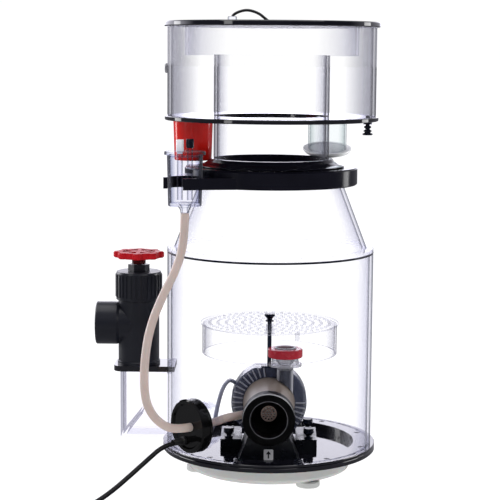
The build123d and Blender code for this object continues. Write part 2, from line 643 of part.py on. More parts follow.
# ---------------------------------------------------------------- hoses and cords
def make_cord(points, radius, name):
    """A round cord along straight runs, with a tangent arc at each corner."""
    runs = [Vector(*end) - Vector(*start) for start, end in zip(points, points[1:])]
    radii = [0.45 * min(a.length, b.length) / tan(radians(a.get_angle(b)) / 2)
             for a, b in zip(runs, runs[1:])]
    with BuildPart() as cord:
        with BuildLine() as path:
            FilletPolyline(*points, radius=radii)
        with BuildSketch(Plane(origin=points[0], z_dir=tuple(runs[0]))):
            Circle(radius)
        sweep()
    length = sum(edge.length for edge in path.edges())
    print(name, "radii", [round(r, 1) for r in radii], "length", round(length, 1),
          "volume ratio", round(cord.part.volume / (pi * radius ** 2 * length), 4))
    finish(cord, name)


hose_end = port_point(PORT_FACE, HOSE_SHIFT)
hose_lead = hose_end + port_out * 26
air_hose_points = [
    (-119.5, -100.5, NOZZLE_BOTTOM), (-119.5, -100.5, 357), (-129, -107, 317), (-150, -119, 276),
    (-166, -133, 235), (-172, -152, 192), (-171, -167, 148), (-163, -168, 124), (-148, -161, 105),
    tuple(hose_lead), tuple(hose_end)]

inner_start = port_point(3.8, HOSE_SHIFT)
inner_lead = inner_start - port_out * 26
nipple_turn = radians(NIPPLE_TURN)
nipple_out = Vector(-cos(nipple_turn), -sin(nipple_turn), 0)
nipple_tip = Vector(0, -52, 100) + nipple_out * NIPPLE_LENGTH
nipple_lead = nipple_tip + nipple_out * 24
inner_hose_points = [tuple(inner_start), tuple(inner_lead), tuple(nipple_lead), tuple(nipple_tip)]

cable_start = port_point(3.8, *CABLE_SHIFT)
cable_lead = cable_start - port_out * 30
inner_cable_points = [tuple(cable_start), tuple(cable_lead), (-78, -66, 86), (-74, -42, 108),
                      (-68, -12, 126), (-60, 19, 131), (-54, 45, 124), (-40.2, 64, 110)]

cord_start = port_point(PORT_FACE, *CABLE_SHIFT)
cord_lead = cord_start + port_out * 34
power_cord_points = [tuple(cord_start), tuple(cord_lead), (-168, -161, 54), (-190, -180, 37),
                     (-212, -199, 21), (-233, -217, 9.5), (-254, -237, CORD_R + 0.2),
                     (-276, -256, CORD_R + 0.1)]


def make_cords():
    make_cord(air_hose_points, HOSE_R, "air_hose")
    make_cord(inner_hose_points, HOSE_R, "inner_hose")
    make_cord(inner_cable_points, CABLE_R, "inner_cable")
    make_cord(power_cord_points, CORD_R, "power_cord")

    coil_in, coil_out = COIL_MID_R - COIL_HALF_WIDTH, COIL_MID_R + COIL_HALF_WIDTH
    coil_top = 4 * CORD_R
    finish(turned([(coil_in, 2.5), (coil_in + 2.5, 0), (coil_out - 2.5, 0), (coil_out, 2.5),
                   (coil_out, coil_top - 2.5), (coil_out - 2.5, coil_top),
                   (coil_in + 2.5, coil_top), (coil_in, coil_top - 2.5)],
                  origin=(*COIL_AT, 0)), "power_coil")

    plug_y = COIL_AT[1] - (coil_out - CORD_R)
    plug_z = 11.0
    plug_x = COIL_AT[0] + sqrt(coil_out ** 2 - (coil_out - CORD_R) ** 2) + 0.5
    with BuildPart() as power_plug:
        add(turned([(0, 0), (4.2, 0), (6.5, 22), (9, 24), (11, 30), (11, 58), (0, 58)],
                   origin=(plug_x, plug_y, plug_z), along=(1, 0, 0)).part)
        with BuildSketch(Plane(origin=(plug_x + 58, plug_y, plug_z), z_dir=(1, 0, 0))):
            Circle(10.6)
            with Locations((-6.4, 0), (6.4, 0)):
                Circle(2.4, mode=Mode.SUBTRACT)
        extrude(amount=2)
        with BuildSketch(Plane(origin=(plug_x + 58, plug_y, plug_z), z_dir=(1, 0, 0))):
            with Locations((-6.4, 0), (6.4, 0)):
                Circle(2.4)
        extrude(amount=20)
    finish(power_plug, "power_plug")


make_base()
make_chamber()
make_cup()
make_lid()
make_silencer()
make_outlet()
make_port()
make_pump()
make_bubble_plate()
make_cords()
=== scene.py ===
from math import cos, pi, radians, sin

import bpy
from mathutils import Matrix, Vector


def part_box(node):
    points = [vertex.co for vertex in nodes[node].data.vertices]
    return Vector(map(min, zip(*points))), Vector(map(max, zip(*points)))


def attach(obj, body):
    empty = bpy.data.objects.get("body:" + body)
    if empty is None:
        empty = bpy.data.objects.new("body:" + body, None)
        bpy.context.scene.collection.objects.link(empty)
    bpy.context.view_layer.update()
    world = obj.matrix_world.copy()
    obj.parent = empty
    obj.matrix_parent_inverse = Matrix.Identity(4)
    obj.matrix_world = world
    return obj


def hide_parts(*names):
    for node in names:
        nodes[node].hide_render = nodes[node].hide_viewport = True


# Looks for the protein skimmer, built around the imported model. Metres, in the model's own frame.
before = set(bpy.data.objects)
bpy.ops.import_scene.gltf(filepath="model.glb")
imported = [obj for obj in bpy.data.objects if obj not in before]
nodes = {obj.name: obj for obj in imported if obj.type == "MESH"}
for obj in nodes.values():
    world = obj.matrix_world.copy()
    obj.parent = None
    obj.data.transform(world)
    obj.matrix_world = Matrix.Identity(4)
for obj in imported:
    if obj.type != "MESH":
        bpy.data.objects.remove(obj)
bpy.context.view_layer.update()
scene = bpy.context.scene

# ---------------------------------------------------------------- shader nodes
# The sockets of a Mix node that mixes colours.
MIX_FIRST, MIX_SECOND, MIX_OUT = 6, 7, 2


def add_node(tree, kind, **values):
    node = tree.nodes.new(kind)
    for key, value in values.items():
        key = key.replace("_", " ")
        if key in node.inputs:
            node.inputs[key].default_value = value
        else:
            setattr(node, key.replace(" ", "_"), value)
    return node


def ramp_between(tree, source, stops):
    """A colour ramp: stops are (position, colour)."""
    ramp = tree.nodes.new("ShaderNodeValToRGB")
    elements = ramp.color_ramp.elements
    while len(elements) < len(stops):
        elements.new(0.5)
    for element, (position, colour) in zip(elements, stops):
        element.position = position
        element.color = (*colour, 1) if len(colour) == 3 else (colour[0],) * 3 + (1,)
    tree.links.new(source, ramp.inputs["Fac"])
    return ramp.outputs["Color"]


def connect(tree, value, socket):
    """Feeds a socket from another node's output, or sets it to a plain value."""
    if isinstance(value, bpy.types.NodeSocket):
        tree.links.new(value, socket)
    else:
        socket.default_value = value


def calculate(tree, operation, *values):
    """The result of a Math node."""
    node = add_node(tree, "ShaderNodeMath", operation=operation)
    for value, socket in zip(values, node.inputs):
        connect(tree, value, socket)
    return node.outputs[0]


def mix_colours(tree, share, first, second, blend="MIX"):
    mix = add_node(tree, "ShaderNodeMix", data_type="RGBA", blend_type=blend)
    connect(tree, share, mix.inputs["Factor"])
    connect(tree, first, mix.inputs[MIX_FIRST])
    connect(tree, second, mix.inputs[MIX_SECOND])
    return mix.outputs[MIX_OUT]


def mix_shaders(tree, share, first, second):
    """Ends a material in a mix of two shaders."""
    mix = tree.nodes.new("ShaderNodeMixShader")
    tree.links.new(share, mix.inputs["Fac"])
    tree.links.new(first, mix.inputs[1])
    tree.links.new(second, mix.inputs[2])
    tree.links.new(mix.outputs[0], tree.nodes["Material Output"].inputs["Surface"])


def coordinates(tree, kind="Object"):
    return tree.nodes.new("ShaderNodeTexCoord").outputs[kind]


def axes(tree, vector):
    """A vector's X, Y and Z."""
    split = tree.nodes.new("ShaderNodeSeparateXYZ")
    tree.links.new(vector, split.inputs[0])
    return split.outputs


def share_between(tree, source, low, high):
    """0 where the source is low, rising to 1 where it is high."""
    reach = add_node(tree, "ShaderNodeMapRange", From_Min=low, From_Max=high)
    tree.links.new(source, reach.inputs["Value"])
    return reach.outputs[0]


# ---------------------------------------------------------------- camera and stage
LENS, SENSOR = 114.05, 36.0
DIM_ROOM, BACKDROP, CEILING = (0.04, 0.04, 0.05), (0.90, 0.89, 1.0), (0.16, 0.16, 0.18)
DARK_SIDE = 0.25
WORLD_STRENGTH = 2.8
SHEET_CROSSINGS = 64
FLOOR_HALF = 60.0
PLAIN_WHITE = 1.02
FLOOR_GLOW, FLOOR_GLOW_LOW = 0.97, 0.06
CAMERA_AT = Vector((0.0, -2.2933, 0.6167))
PITCH, ROLL, PAN = radians(7.17), radians(0.43), radians(-0.74)


def make_camera():
    """A long lens in front, a little above the cup's floor and looking slightly down."""
    right = Vector((cos(PAN), -sin(PAN), 0))
    ahead = Vector((sin(PAN) * cos(PITCH), cos(PAN) * cos(PITCH), -sin(PITCH)))
    up = Vector((sin(PAN) * sin(PITCH), cos(PAN) * sin(PITCH), cos(PITCH)))
    level = Matrix((right * cos(ROLL) + up * sin(ROLL), up * cos(ROLL) - right * sin(ROLL), -ahead))
    data = bpy.data.cameras.new("camera")
    data.lens, data.sensor_width = LENS, SENSOR
    camera = bpy.data.objects.new("camera", data)
    camera.matrix_world = Matrix.Translation(CAMERA_AT) @ level.transposed().to_4x4()
    scene.collection.objects.link(camera)
    scene.camera = camera


def add_light(name, at, size, power, target=(0, 0, 0.33), shape="RECTANGLE", tint=(1, 1, 1)):
    data = bpy.data.lights.new(name, "AREA")
    data.shape, data.size, data.size_y = shape, size[0], size[1]
    data.energy, data.color = power, tint
    light = bpy.data.objects.new(name, data)
    light.location = at
    light.rotation_euler = (Vector(target) - Vector(at)).to_track_quat("-Z", "Y").to_euler()
    scene.collection.objects.link(light)


def make_world():
    """A bright backdrop behind the object, dimmer to the right, with a dim room in front and a dim
    ceiling. Seen straight, it's plain white all round."""
    world = bpy.data.worlds.new("studio")
    scene.world = world
    world.use_nodes = True
    tree = world.node_tree
    background = tree.nodes["Background"]
    direction = axes(tree, coordinates(tree, "Generated"))
    backdrop = ramp_between(tree, direction["Y"], [(0.0, DIM_ROOM), (0.30, BACKDROP)])
    across = calculate(tree, "ADD", direction["X"], 0.5)
    sideways = ramp_between(tree, across, [(0.55, (1.0,)), (0.92, (DARK_SIDE,))])
    uneven = mix_colours(tree, 1.0, backdrop, sideways, "MULTIPLY")
    height = ramp_between(tree, direction["Z"], [(0.25, (0.0,)), (0.60, (1.0,))])
    around = mix_colours(tree, height, uneven, (*CEILING, 1))
    rays = tree.nodes.new("ShaderNodeLightPath")
    plain = (*[PLAIN_WHITE / WORLD_STRENGTH] * 3, 1)
    seen = mix_colours(tree, rays.outputs["Is Camera Ray"], around, plain)
    tree.links.new(seen, background.inputs["Color"])
    background.inputs["Strength"].default_value = WORLD_STRENGTH


def make_stage():
    """A white floor that glows a little, as on a light table, and soft boxes."""
    mesh = bpy.data.meshes.new("floor")
    corners = [(x * FLOOR_HALF, y * FLOOR_HALF, 0) for x, y in ((-1, -1), (1, -1), (1, 1), (-1, 1))]
    mesh.from_pydata(corners, [], [(0, 1, 2, 3)])
    floor = bpy.data.objects.new("floor", mesh)
    scene.collection.objects.link(floor)
    material = bpy.data.materials.new("floor_paper")
    material.use_nodes = True
    shader = material.node_tree.nodes["Principled BSDF"]
    shader.inputs["Base Color"].default_value = (0.22, 0.22, 0.225, 1)
    shader.inputs["Roughness"].default_value = 0.9
    shader.inputs["Specular IOR Level"].default_value = 0.0
    shader.inputs["Emission Color"].default_value = (1, 1, 1, 1)
    rays = material.node_tree.nodes.new("ShaderNodeLightPath")
    glow = ramp_between(material.node_tree, rays.outputs["Is Glossy Ray"],
                        [(0.0, (FLOOR_GLOW,)), (1.0, (FLOOR_GLOW_LOW,))])
    material.node_tree.links.new(glow, shader.inputs["Emission Strength"])
    mesh.materials.append(material)

    make_world()
    add_light("key", (1.2, -1.5, 1.6), (0.9, 0.9), 13)
    add_light("fill", (-1.5, -1.5, 1.0), (0.35, 1.3), 6)
    add_light("rim_left", (-1.5, 0.7, 0.8), (0.4, 1.6), 10)
    add_light("rim_right", (1.5, 0.7, 0.8), (0.4, 1.6), 10)
    add_light("top", (0, 0.1, 2.2), (1.6, 1.6), 18)
    scene.view_settings.view_transform = "Standard"
    scene.view_settings.look = "None"
    scene.cycles.transparent_max_bounces = SHEET_CROSSINGS


# ---------------------------------------------------------------- materials
ACRYLIC_IOR = 1.49
CUT_EDGE = 0.85
RIB_FACE, DUCT_FACE, DUCT_R = -0.0082, -0.0102, 0.012
# The volute's front ribs: painted light, a lighter grey than the smoke, for ribs that catch more light.
RIB_PAINTED_LIGHT = (0.42, 0.43, 0.50)


def new_material(name):
    material = bpy.data.materials.new(name)
    material.use_nodes = True
    tree = material.node_tree
    return material, tree, tree.nodes["Principled BSDF"]


def noise(tree, scale, detail=3.0, stretch=(1, 1, 1)):
    """Noise in the object's own metres."""
    mapping = tree.nodes.new("ShaderNodeMapping")
    mapping.inputs["Scale"].default_value = stretch
    tree.links.new(coordinates(tree), mapping.inputs["Vector"])
    texture = add_node(tree, "ShaderNodeTexNoise", Scale=scale, Detail=detail)
    tree.links.new(mapping.outputs["Vector"], texture.inputs["Vector"])
    return texture.outputs["Fac"]


def add_bump(tree, shader, height, strength, distance):
    bump = add_node(tree, "ShaderNodeBump", Strength=strength, Distance=distance)
    tree.links.new(height, bump.inputs["Height"])
    tree.links.new(bump.outputs["Normal"], shader.inputs["Normal"])


def solid(name, colour, roughness, shade=0.12, grain=900.0, bump=0.15, depth=0.0004, spread=0.08,
          specular=0.5, **constants):
    """A moulded or sheet material: its colour varies by shade, its roughness by spread."""
    material, tree, shader = new_material(name)
    low = tuple(c * (1 - shade) for c in colour)
    high = tuple(min(1.0, c * (1 + shade)) for c in colour)
    blotches = noise(tree, 24.0, 4.0)
    tree.links.new(ramp_between(tree, blotches, [(0.3, low), (0.7, high)]), shader.inputs["Base Color"])
    wear = noise(tree, 60.0, 5.0)
    rough = ramp_between(tree, wear, [(0.3, (max(0.0, roughness - spread),)), (0.75, (roughness + spread,))])
    tree.links.new(rough, shader.inputs["Roughness"])
    shader.inputs["Specular IOR Level"].default_value = specular
    for key, value in constants.items():
        shader.inputs[key.replace("_", " ")].default_value = value
    add_bump(tree, shader, noise(tree, grain, 2.0), bump, depth)
    return material


def faces_outward(tree, normal):
    """1 where a surface faces away from the model's upright axis, and 0 elsewhere."""
    level = add_node(tree, "ShaderNodeVectorMath", operation="MULTIPLY")
    tree.links.new(coordinates(tree), level.inputs[0])
    level.inputs[1].default_value = (1, 1, 0)
    outward = add_node(tree, "ShaderNodeVectorMath", operation="DOT_PRODUCT")
    tree.links.new(level.outputs[0], outward.inputs[0])
    tree.links.new(normal, outward.inputs[1])
    return calculate(tree, "GREATER_THAN", outward.outputs["Value"], 0.0)


def clear(name, middle=(0.998, 0.998, 0.999), side=(0.905, 0.905, 0.95), rim=(0.20, 0.21, 0.26),
          edge=(0.80, 0.80, 0.87), turn=(0.34, 0.70), rim_turn=(0.80, 0.90), gloss=0.45, haze=0.0,
          haze_colour=(0.8, 0.8, 0.88), round_axis=False):
    """Clear acrylic sheet: light goes straight through, and less of it where the sheet is seen
    along its length or at a cut edge. The turns are how far the surface faces away where the
    middle's tint ends and the side's is reached, and where the rim's starts and is reached. With
    round_axis, a tube around the model's axis has its dark rim on the outer wall only."""
    material, tree, shader = new_material(name)
    shader.inputs["Base Color"].default_value = (*haze_colour, 1)
    shader.inputs["IOR"].default_value = ACRYLIC_IOR
    smears = noise(tree, 40.0, 6.0, (1, 1, 0.25))
    tree.links.new(ramp_between(tree, smears, [(0.35, (0.02,)), (0.8, (0.08,))]), shader.inputs["Roughness"])

    facing = add_node(tree, "ShaderNodeLayerWeight", Blend=0.5).outputs["Facing"]
    normal = coordinates(tree, "Normal")
    wall = ramp_between(tree, facing, [(turn[0], middle), (turn[1], side)])
    dark = ramp_between(tree, facing, [(rim_turn[0], (0.0,)), (rim_turn[1], (1.0,))])
    if round_axis:
        dark = calculate(tree, "MULTIPLY", dark, faces_outward(tree, normal))
    through = mix_colours(tree, dark, wall, (*rim, 1))
    level = calculate(tree, "ABSOLUTE", axes(tree, normal)["Z"])
    cut = calculate(tree, "GREATER_THAN", level, CUT_EDGE)
    tint = mix_colours(tree, cut, through, (*edge, 1))
    sheet = tree.nodes.new("ShaderNodeBsdfTransparent")
    tree.links.new(tint, sheet.inputs["Color"])

    grazing = calculate(tree, "POWER", facing, 4.0)
    amount = calculate(tree, "MULTIPLY_ADD", grazing, gloss, haze)
    mix_shaders(tree, amount, sheet.outputs[0], shader.outputs[0])
    return material


def paint(material, *names):
    for name in names:
        slots = nodes[name].data.materials
        slots.clear()
        slots.append(material)


def smoky_volute():
    """Smoke-tinted clear plastic. The ribs on its front face are painted lighter, as painted light, and the
    round outlet duct, further forward, has painted highlights along its sides."""
    material, tree, shader = new_material("smoky_plastic")
    place = axes(tree, coordinates(tree))
    smoke = ramp_between(tree, noise(tree, 30.0, 4.0),
                         [(0.3, (0.045, 0.055, 0.10)), (0.7, (0.07, 0.08, 0.13))])
    # Painted highlights on the outlet duct: darkest along its middle, painted lighter towards its sides.
    low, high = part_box("discharge_pipe")
    off_axis = calculate(tree, "SUBTRACT", place["X"], (low.x + high.x) / 2)
    sideways = share_between(tree, calculate(tree, "ABSOLUTE", off_axis), 0.0, DUCT_R)
    duct_painted_sheen = ramp_between(tree, sideways,
                              [(0.62, (0.060, 0.065, 0.09)), (0.78, (0.30, 0.30, 0.33)),
                               (0.93, (0.52, 0.52, 0.55))])
    colour = smoke
    for forward, shown in ((RIB_FACE, (*RIB_PAINTED_LIGHT, 1)), (DUCT_FACE, duct_painted_sheen)):
        proud = calculate(tree, "LESS_THAN", place["Y"], forward)
        colour = mix_colours(tree, proud, colour, shown)
    tree.links.new(colour, shader.inputs["Base Color"])
    wear = ramp_between(tree, noise(tree, 60.0), [(0.3, (0.08,)), (0.75, (0.22,))])
    tree.links.new(wear, shader.inputs["Roughness"])
    shader.inputs["Alpha"].default_value = 0.8
    add_bump(tree, shader, noise(tree, 900.0, 2.0), 0.08, 0.0004)
    return material


def shaded_handwheel():
    """Red plastic, darker low down where the wheel's rim shades its hub and spokes."""
    material = solid("red_moulded", (0.45, 0.008, 0.014), 0.42, bump=0.1, specular=0.08)
    tree = material.node_tree
    shader = tree.nodes["Principled BSDF"]
    low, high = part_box("handwheel")
    height = share_between(tree, axes(tree, coordinates(tree))["Z"], low.z, high.z)
    shadow = ramp_between(tree, height, [(0.25, (0.12,)), (0.60, (1.0,))])
    red = shader.inputs["Base Color"].links[0].from_socket
    tree.links.new(mix_colours(tree, 1.0, red, shadow, "MULTIPLY"), shader.inputs["Base Color"])
    return material


def white_above_lid():
    """The silencer's inlet tube: white where it stands above the lid, clear where it hangs below."""
    material = clear("inlet_tube", middle=(0.955, 0.955, 0.975), side=(0.78, 0.79, 0.85),
                     rim=(0.10, 0.11, 0.15), turn=(0.15, 0.40), rim_turn=(0.45, 0.66))
    tree = material.node_tree
    low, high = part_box("silencer_lid")
    above = calculate(tree, "GREATER_THAN", axes(tree, coordinates(tree))["Z"], (low.z + high.z) / 2)
    white = add_node(tree, "ShaderNodeBsdfPrincipled", Base_Color=(0.93, 0.93, 0.94, 1), Roughness=0.3)
    below = tree.nodes["Material Output"].inputs["Surface"].links[0].from_socket
    mix_shaders(tree, above, below, white.outputs[0])
    return material


def paint_everything():
    round_wall = dict(round_axis=True)
    paint(clear("clear_tube", side=(0.90, 0.90, 0.935), rim=(0.16, 0.17, 0.20), turn=(0.42, 0.76),
                rim_turn=(0.77, 0.88), **round_wall), "body_tube", "cone")
    paint(clear("clear_neck", side=(0.86, 0.86, 0.885), rim=(0.13, 0.13, 0.15), turn=(0.34, 0.62),
                rim_turn=(0.62, 0.80), edge=(0.45, 0.45, 0.50), gloss=0.35, **round_wall), "neck_tube")
    paint(clear("clear_cup", side=(0.77, 0.77, 0.795), rim=(0.05, 0.05, 0.06), turn=(0.28, 0.60),
                rim_turn=(0.73, 0.86), gloss=0.35, **round_wall), "cup_wall")
    paint(clear("clear_skirt", side=(0.91, 0.91, 0.93), rim=(0.45, 0.45, 0.48), turn=(0.15, 0.5),
                edge=(0.72, 0.72, 0.75), **round_wall), "lid_skirt")
    paint(clear("clear_ring", middle=(0.985, 0.985, 0.992), side=(0.95, 0.95, 0.97), edge=(0.93, 0.93, 0.95),
                **round_wall), "shoulder_ring")
    paint(clear("clear_moulded", middle=(0.955, 0.955, 0.975), side=(0.78, 0.79, 0.85),
                rim=(0.10, 0.11, 0.15), edge=(0.55, 0.56, 0.65), turn=(0.15, 0.40), rim_turn=(0.45, 0.66)),
          "silencer_cup", "silencer_lid", "silencer_valve_tube", "handle_post")
    paint(clear("smoky_pipe", middle=(0.86, 0.86, 0.88), side=(0.60, 0.60, 0.64), rim=(0.12, 0.13, 0.15),
                edge=(0.70, 0.70, 0.74), turn=(0.2, 0.5), rim_turn=(0.6, 0.8), haze=0.28,
                haze_colour=(0.48, 0.48, 0.50)), "discharge_pipe")
    paint(clear("clear_box", middle=(0.975, 0.97, 0.985), side=(0.955, 0.95, 0.975), rim=(0.42, 0.42, 0.48),
                edge=(0.86, 0.86, 0.90), gloss=0.2), "outlet_box")
    paint(clear("clear_port", middle=(0.955, 0.955, 0.975), side=(0.88, 0.88, 0.93), edge=(0.85, 0.85, 0.90)),
          "port_bulkhead")
    paint(clear("clear_plate", middle=(0.86, 0.86, 0.88), side=(0.72, 0.72, 0.75), rim=(0.60, 0.60, 0.64),
                edge=(0.965, 0.965, 0.975), gloss=0.1), "bubble_plate")
    paint(clear("clear_plate_skirt", middle=(0.99, 0.99, 0.993), side=(0.86, 0.86, 0.88),
                rim=(0.14, 0.14, 0.16), edge=(0.50, 0.50, 0.54), turn=(0.45, 0.80), **round_wall),
          "bubble_skirt")
    paint(clear("clear_canister_wall", middle=(0.965, 0.975, 0.975), side=(0.84, 0.87, 0.87),
                rim=(0.40, 0.44, 0.45), turn=(0.2, 0.6), rim_turn=(0.75, 0.88)), "clear_canister")

    black = solid("black_sheet", (0.005, 0.005, 0.008), 0.05, spread=0.03, bump=0.02,
                  IOR=ACRYLIC_IOR)
    paint(black, "lid", "cup_floor", "base_plate", "body_flange", "well_floor", "valve_plate")
    paint(solid("black_collar", (0.005, 0.005, 0.009), 0.14, spread=0.04, bump=0.03, specular=0.16),
          "neck_collar", "body_collar", "silencer_bracket")
    milky = solid("milky_sheet", (0.66, 0.67, 0.65), 0.18, shade=0.05, bump=0.04, Subsurface_Weight=0.3,
                  Subsurface_Scale=0.004)
    paint(milky, "base_pan")
    paint(solid("white_sheet", (0.86, 0.87, 0.865), 0.25, shade=0.03, bump=0.04, specular=0.2),
          "canister_base")
    paint(solid("pale_rubber", (0.62, 0.63, 0.61), 0.45, shade=0.06), "feet")
    paint(solid("grey_pvc", (0.0090, 0.0100, 0.0155), 0.33, shade=0.15, spread=0.03, bump=0.04,
                specular=0.32),
          "valve_tee", "valve_union_nut", "valve_bonnet", "valve_plug")
    paint(shaded_handwheel(), "handwheel")
    paint(solid("red_can", (0.60, 0.014, 0.010), 0.12, bump=0.05), "red_canister")
    paint(solid("dark_red", (0.40, 0.016, 0.030), 0.25, specular=0.3, Alpha=0.95), "pump_union_nut")
    paint(solid("black_gloss", (0.002, 0.002, 0.002), 0.05, spread=0.02, bump=0.03, specular=0.25),
          "port_cap")
    paint(solid("black_moulded", (0.0018, 0.0018, 0.002), 0.42, spread=0.04, specular=0.07), "intake_ring")
    paint(solid("black_fitting", (0.004, 0.006, 0.014), 0.30, specular=0.25), "drain_plug", "air_knob",
          "plate_knob", "thumbscrews")
    paint(solid("navy_rod", (0.010, 0.016, 0.034), 0.30, specular=0.25), "plate_rod")
    paint(solid("bracket_plastic", (0.005, 0.006, 0.009), 0.30, specular=0.35), "pump_bracket")
    paint(solid("motor_block", (0.055, 0.065, 0.10), 0.35), "pump_motor")
    paint(smoky_volute(), "volute")
    paint(solid("brown_plastic", (0.215, 0.175, 0.145), 0.34, shade=0.05, spread=0.03, bump=0.05,
                specular=0.22), "intake_body")
    paint(solid("brown_screen", (0.42, 0.29, 0.24), 0.35, shade=0.1), "intake_screen")
    paint(solid("white_impeller", (0.72, 0.72, 0.74), 0.3), "impeller")
    paint(white_above_lid(), "silencer_inlet_tube")
    paint(solid("steel", (0.30, 0.30, 0.34), 0.22, Metallic=1.0), "valve_stem")
    paint(solid("dark_nylon", (0.010, 0.010, 0.018), 0.40, specular=0.2), "flange_screws")
    paint(solid("black_rubber", (0.006, 0.006, 0.007), 0.42, bump=0.3), "lid_handle", "collar_seal",
          "cord_gland", "power_plug")


# ---------------------------------------------------------------- hoses and cords
HOSE_R, CABLE_R, CORD_R = 0.006, 0.003, 0.0034
PORT_TURN = radians(49)
PORT_OUT = Vector((-sin(PORT_TURN), -cos(PORT_TURN), 0))
PORT_SIDE = Vector((cos(PORT_TURN), -sin(PORT_TURN), 0))
WALL_POINT = Vector((-0.0984, -0.1132, 0.0945))
CAP_FACE, CAP_BACK = 0.0195, 0.0038
COIL_AT = Vector((-0.2448, -0.2919, 0))
COIL_R_OUT, COIL_R_IN = 0.0475, 0.0246
COIL_START, TURNS_IN, CLIMB, TURNS_OUT = radians(131), 3.05, 0.336, 3.0
LAYER_RISE = 2.03
FLOOR_GAP = 0.0001
HOSE_SIDE = 0.006
CORD_SIDE, CORD_DROP = -0.008, -0.022
NIPPLE_ROOT, NIPPLE_TURN, NIPPLE_LENGTH = Vector((0, -0.052, 0.100)), radians(32), 0.044
PLUG_CORD_Z = 0.011


def port_point(out, side=0.0, up=0.0):
    return WALL_POINT + PORT_OUT * out + PORT_SIDE * side + Vector((0, 0, up))


def cord_curve(name, points, radius, material, segments=10):
    """A round cord whose centre line is a smooth spline that the points steer."""
    data = bpy.data.curves.new(name, "CURVE")
    data.dimensions = "3D"
    data.bevel_depth, data.bevel_resolution, data.resolution_u = radius, 4, segments
    data.use_fill_caps = True
    spline = data.splines.new("NURBS")
    spline.points.add(len(points) - 1)
    for place, point in zip(spline.points, points):
        place.co = (*point, 1)
    spline.order_u = 3
    spline.use_endpoint_u = True
    cord = bpy.data.objects.new(name, data)
    scene.collection.objects.link(cord)
    data.materials.append(material)
    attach(cord, "chamber")
    return cord


def coil_points():
    """The lead's spare length: wound inward on the floor, up one layer and outward again."""
    per_turn = 16
    total = TURNS_IN + CLIMB + TURNS_OUT
    points = []
    for step in range(1, round(total * per_turn) + 1):
        turn = step / per_turn
        inward = min(turn / TURNS_IN, 1)
        rise = min(max((turn - TURNS_IN) / CLIMB, 0), 1)
        outward = min(max((turn - TURNS_IN - CLIMB) / TURNS_OUT, 0), 1)
        radius = COIL_R_OUT - (COIL_R_OUT - COIL_R_IN) * (inward - outward)
        angle = COIL_START + turn * 2 * pi
        points.append(COIL_AT + Vector((radius * cos(angle), radius * sin(angle),
                                        CORD_R + FLOOR_GAP + rise * LAYER_RISE * CORD_R)))
    return points


def make_air_hose(silicone):
    hose_end = port_point(CAP_FACE, HOSE_SIDE)
    points = [(-0.1195, -0.1005, 0.392), (-0.1195, -0.1005, 0.357), (-0.129, -0.107, 0.317),
              (-0.150, -0.119, 0.276), (-0.166, -0.133, 0.235), (-0.172, -0.152, 0.192),
              (-0.171, -0.167, 0.148), (-0.163, -0.168, 0.124), (-0.148, -0.161, 0.105),
              hose_end + PORT_OUT * 0.026, hose_end]
    hose = cord_curve("silicone_air_hose", points, HOSE_R, silicone, 16)
    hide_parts("air_hose")


def make_inner_hose(silicone):
    nipple = Vector((-cos(NIPPLE_TURN), -sin(NIPPLE_TURN), 0))
    tip = NIPPLE_ROOT + nipple * NIPPLE_LENGTH
    start = port_point(CAP_BACK, HOSE_SIDE)
    inner = cord_curve("silicone_inner_hose", [start, start - PORT_OUT * 0.026, tip + nipple * 0.024, tip],
                       HOSE_R, silicone, 16)
    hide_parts("inner_hose")


def make_pump_cable():
    sheath = solid("cable_sheath", (0.22, 0.23, 0.30), 0.32, shade=0.1)
    start = port_point(CAP_BACK, CORD_SIDE, CORD_DROP)
    cable = cord_curve("pump_cable", [start, start - PORT_OUT * 0.030, (-0.078, -0.066, 0.086),
                                      (-0.074, -0.042, 0.108), (-0.068, -0.012, 0.126),
                                      (-0.060, 0.019, 0.131), (-0.054, 0.045, 0.124),
                                      (-0.0402, 0.064, 0.110)], CABLE_R, sheath, 16)
    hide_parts("inner_cable")


def make_power_lead():
    rubber = solid("lead_rubber", (0.004, 0.004, 0.005), 0.36, bump=0.2, specular=0.2)
    start = port_point(CAP_FACE, CORD_SIDE, CORD_DROP)
    floor = CORD_R + FLOOR_GAP
    route = [start, start + PORT_OUT * 0.034, (-0.168, -0.161, 0.054), (-0.190, -0.180, 0.037),
             (-0.212, -0.199, 0.021), (-0.233, -0.217, 0.0095), (-0.254, -0.237, floor + FLOOR_GAP),
             (-0.276, -0.256, floor)]
    route += coil_points()
    low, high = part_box("power_plug")
    route += [Vector((low.x, (low.y + high.y) / 2, PLUG_CORD_Z))]
    lead = cord_curve("power_lead", route, CORD_R, rubber, 10)
    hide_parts("power_cord", "power_coil")


def make_cords():
    silicone = solid("silicone", (0.53, 0.43, 0.385), 0.38, shade=0.07, grain=400, bump=0.1,
                     Subsurface_Weight=0.15, Subsurface_Scale=0.002)
    make_air_hose(silicone)
    make_inner_hose(silicone)
    make_pump_cable()
    make_power_lead()


# ---------------------------------------------------------------- small pieces
STUD_Z = 0.591
LABEL_HALF, LABEL_LOW, LABEL_HIGH, LABEL_CORNER = 0.0068, 0.0405, 0.0560, 0.0012
# Half the arrow's stem, half its head, and the heights of its foot, its head's base and its tip.
ARROW = 0.0010, 0.0036, 0.0430, 0.0490, 0.0538


